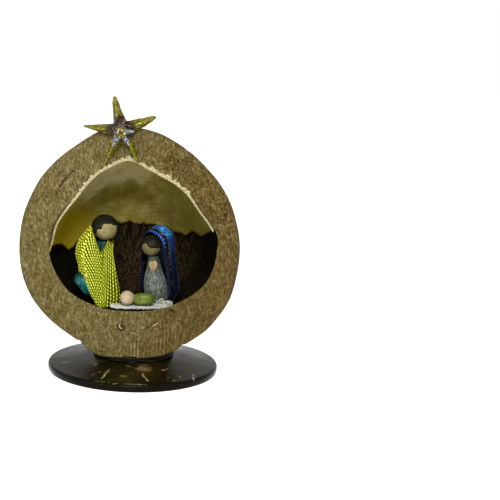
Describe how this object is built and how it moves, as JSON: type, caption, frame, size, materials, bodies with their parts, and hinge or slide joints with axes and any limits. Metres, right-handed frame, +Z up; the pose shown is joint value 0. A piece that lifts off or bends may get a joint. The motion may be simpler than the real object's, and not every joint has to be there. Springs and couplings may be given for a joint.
{
  "type": "nutshell nativity scene",
  "caption": "Nativity scene inside a thick nut husk with a flat sawn face, on a ring and a domed shell disc, with robed bead figures, a baby on lace and a glass star on top.",
  "frame": {"origin": "on the resting surface, under the middle of the object", "axes": "+Z up; the sawn face with its opening looks along -Y; +X to the right as seen from the front"},
  "size_m": [0.069, 0.055, 0.0889],
  "materials": {
    "woody_husk": "raw sawn fibrous husk, grey-brown",
    "dark_fibre": "matte dark brown fibres",
    "cream_shell": "smooth tan inside with a pale cut edge",
    "dark_gloss": "polished, nearly black",
    "polished_shell": "polished dark brown shell with light veins",
    "gold_glass": "cast glass, gold with purple-brown glitter",
    "white_enamel": "white with fine glitter",
    "gilt_bead": "gilt",
    "teal_enamel": "wood with glossy teal enamel",
    "pearl_enamel": "wood with pearly blue-grey enamel",
    "bead_skin": "satin peach paint on a wooden bead",
    "black_paint": "satin black paint",
    "lime_ribbon": "woven lime ribbon with a bright thread",
    "blue_satin": "royal blue satin ribbon with a looped edge and a black stripe",
    "white_lace": "white lace braid",
    "pink_bead": "satin pink paint on a round bead",
    "green_glass": "glossy clouded green glass"
  },
  "bodies": {
    "root": {"nut_husk": "woody_husk", "fibre_layer": "dark_fibre", "cream_shell": "cream_shell", "support_ring": "dark_gloss", "base_disc": "polished_shell", "star_gold": "gold_glass", "star_white": "white_enamel", "star_bead": "gilt_bead", "father_robe": "teal_enamel", "father_head": "bead_skin", "father_hair": "black_paint", "father_cloak": "lime_ribbon", "mother_robe": "pearl_enamel", "mother_head": "bead_skin", "mother_hair": "black_paint", "mother_hands": "bead_skin", "mother_veil": "blue_satin", "lace_mat": "white_lace", "baby_head": "pink_bead", "baby_body": "green_glass"}
  },
  "joints": []
}
